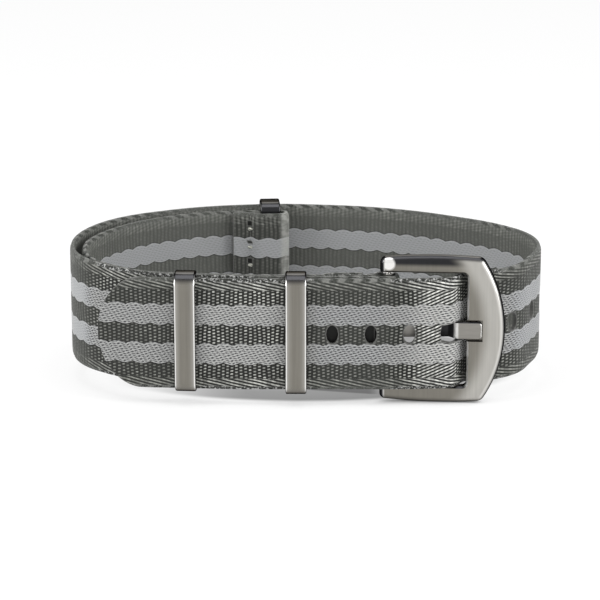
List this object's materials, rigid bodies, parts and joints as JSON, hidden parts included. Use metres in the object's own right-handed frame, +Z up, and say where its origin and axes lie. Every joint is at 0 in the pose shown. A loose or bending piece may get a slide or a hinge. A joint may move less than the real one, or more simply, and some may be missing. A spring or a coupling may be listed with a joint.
{
  "type": "nato watch strap",
  "caption": "Buckled pass-through watch strap of striped nylon webbing with a steel pin buckle and flat steel keepers, lying on its edge.",
  "frame": {"origin": "bottom centre of the buckled strap's box, on the surface it stands on", "axes": "+X along the front of the loop towards the buckle, +Y from the front to the back of the loop, +Z up, across the webbing's width"},
  "size_m": [0.0822, 0.047, 0.0264],
  "materials": {
    "webbing": "woven nylon, slight sheen, dark grey with light grey stripes",
    "thread": "polyester sewing thread",
    "steel": "brushed faces with polished bevels",
    "spring_bar_steel": "turned, bright"
  },
  "bodies": {
    "strap": {"main_strap": "webbing", "short_strap": "webbing", "seam_buckle_fold": "thread", "seam_short_strap": "thread", "seam_rear_fold": "thread"},
    "frame": {"buckle_frame": "steel"},
    "tongue": {"buckle_tongue": "steel"},
    "spring_bar": {"spring_bar_barrel": "spring_bar_steel", "spring_bar_spring": "spring_bar_steel"},
    "plunger_top": {"spring_bar_plunger_top": "spring_bar_steel"},
    "plunger_bottom": {"spring_bar_plunger_bottom": "spring_bar_steel"},
    "near_keeper": {"keeper_front_near": "steel"},
    "far_keeper": {"keeper_front_far": "steel"},
    "rear_keeper": {"keeper_rear": "steel"}
  },
  "joints": [
    {"name": "buckle_swing", "type": "hinge", "parent": "strap", "child": "frame", "pos_m": [0.01414, -0.0194, 0.0132], "axis": [0, 0, 1], "range_deg": [-3, 1]},
    {"name": "tongue_lift", "type": "hinge", "parent": "frame", "child": "tongue", "pos_m": [0.01414, -0.0194, 0.0132], "axis": [0, 0, 1], "range_deg": [-2, 0]},
    {"name": "spring_bar_turn", "type": "hinge", "parent": "frame", "child": "spring_bar", "pos_m": [0.01414, -0.0194, 0.0132], "axis": [0, 0, 1], "continuous": true},
    {"name": "plunger_top_press", "type": "slide", "parent": "spring_bar", "child": "plunger_top", "axis": [0, 0, 1], "range_m": [-0.0013, 0], "stiffness_N_per_m": 1200, "springref_m": 0.0006, "deforming": ["spring_bar_spring"]},
    {"name": "plunger_bottom_press", "type": "slide", "parent": "spring_bar", "child": "plunger_bottom", "axis": [0, 0, -1], "range_m": [-0.0013, 0], "stiffness_N_per_m": 1200, "springref_m": 0.0006, "deforming": ["spring_bar_spring"]},
    {"name": "near_keeper_slide", "type": "slide", "parent": "strap", "child": "near_keeper", "axis": [1, 0, 0], "range_m": [-0.002, 0.0015]},
    {"name": "far_keeper_slide", "type": "slide", "parent": "strap", "child": "far_keeper", "axis": [0.9979, -0.0642, 0], "range_m": [-0.0015, 0.006]},
    {"name": "rear_keeper_swing", "type": "hinge", "parent": "strap", "child": "rear_keeper", "pos_m": [-0.0064, 0.01855, 0.0132], "axis": [0, 0, 1], "range_deg": [-5, 5]}
  ]
}
